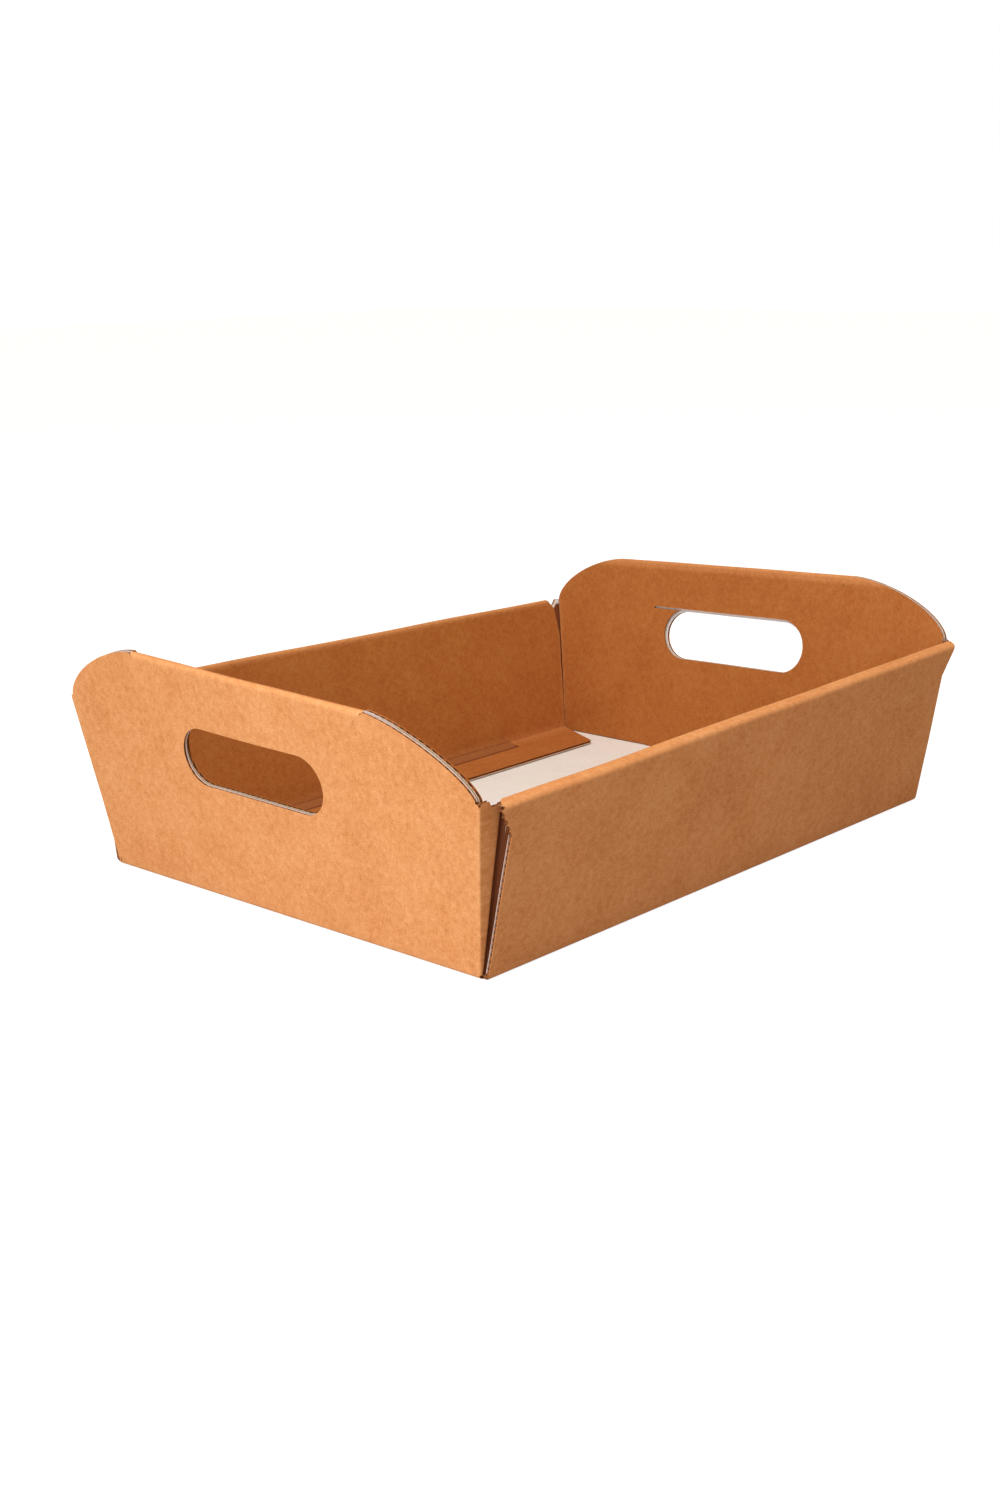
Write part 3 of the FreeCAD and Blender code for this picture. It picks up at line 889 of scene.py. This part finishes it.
def floor_material():
    """Pale floor: the camera sees it near white with the tray's shadow, light sees it grey."""
    material = bpy.data.materials.new("pale_floor")
    tree = Tree(material)
    seen = tree.node("ShaderNodeLightPath").out("Is Camera Ray")
    plain = tree.node("ShaderNodeBsdfPrincipled", None, {
        "Base Color": colour(0.5, 0.5, 0.5), "Roughness": 0.9, "Specular IOR Level": 0.1})
    bright = tree.node("ShaderNodeBsdfPrincipled", None, {
        "Base Color": colour(0.45, 0.45, 0.45), "Roughness": 0.9, "Specular IOR Level": 0.1,
        "Emission Color": colour(1.0, 1.0, 1.0), "Emission Strength": 0.88})
    mixed = tree.node("ShaderNodeMixShader", None, {0: seen, 1: plain.out(), 2: bright.out()})
    tree.node("ShaderNodeOutputMaterial", None, {"Surface": mixed.out()})
    return material


def lay_floor():
    reach, level = 6.0, -0.0002
    corners = [(x, y, level) for x, y in ((-reach, -reach), (reach, -reach), (reach, reach),
                                          (-reach, reach))]
    mesh = bpy.data.meshes.new("floor")
    mesh.from_pydata(corners, [], [(0, 1, 2, 3)])
    mesh.materials.append(floor_material())
    floor = bpy.data.objects.new("floor", mesh)
    bpy.context.scene.collection.objects.link(floor)


def soft_lamp(name, place, target, size, watts, tint):
    """Square lamp at a place in metres, facing the target."""
    light = bpy.data.lights.new(name, "AREA")
    light.shape = "SQUARE"
    light.size = size
    light.energy = watts
    light.color = tint
    lamp = bpy.data.objects.new(name, light)
    lamp.location = place
    lamp.rotation_euler = (Vector(target) - Vector(place)).to_track_quat("-Z", "Y").to_euler()
    bpy.context.scene.collection.objects.link(lamp)


def light_world(level, tint):
    """Even surroundings. The camera sees them as plain white."""
    world = bpy.data.worlds.new("white_room")
    bpy.context.scene.world = world
    tree = Tree(world)
    seen = tree.node("ShaderNodeLightPath").out("Is Camera Ray")
    white_light = tree.node("ShaderNodeBackground", None, {"Color": tint, "Strength": level})
    backdrop = tree.node("ShaderNodeBackground", None, {"Color": colour(1.0, 1.0, 1.0),
                                                        "Strength": 1.0})
    mixed = tree.node("ShaderNodeMixShader", None, {0: seen, 1: white_light.out(),
                                                    2: backdrop.out()})
    tree.node("ShaderNodeOutputWorld", None, {"Surface": mixed.out()})


SENSOR = 36.0
FRAME_HEIGHT = 1500.0


def aim_camera(azimuth, elevation, distance, target, roll, focal_pixels):
    """Camera on a ball around the target, turned about its own axis by the roll."""
    a, e, r = (math.radians(v) for v in (azimuth, elevation, roll))
    back = Vector((math.sin(a) * math.cos(e), -math.cos(a) * math.cos(e), math.sin(e)))
    right = Vector((0, 0, 1)).cross(back).normalized()
    up = back.cross(right)
    turned = right * math.cos(r) + up * math.sin(r)
    above = up * math.cos(r) - right * math.sin(r)
    camera = bpy.data.cameras.new("camera")
    camera.sensor_fit = "VERTICAL"
    camera.sensor_height = SENSOR
    camera.lens = focal_pixels * SENSOR / FRAME_HEIGHT
    holder = bpy.data.objects.new("camera", camera)
    axes = Matrix((turned, above, back)).transposed().to_4x4()
    axes.translation = (Vector(target) + back * distance) * MM
    holder.matrix_world = axes
    bpy.context.scene.collection.objects.link(holder)
    bpy.context.scene.camera = holder


# Warm surroundings, a cool lamp low before the near end and a larger one above

lay_floor()
light_world(0.35, colour(1.0, 0.78, 0.58))
soft_lamp("key", (-1.10, -0.18, 0.21), (-0.16, 0, 0.06), 0.42, 7.0, (0.91, 1.0, 1.12))
soft_lamp("top", (-0.40, -0.40, 1.30), (0, 0, 0), 0.9, 15.5, (1.0, 0.98, 0.95))
aim_camera(-47.289, 14.802, 873.97, (-22.077, -0.89, 43.771), -1.201, 1900.0)

bpy.context.scene.view_settings.view_transform = "Standard"
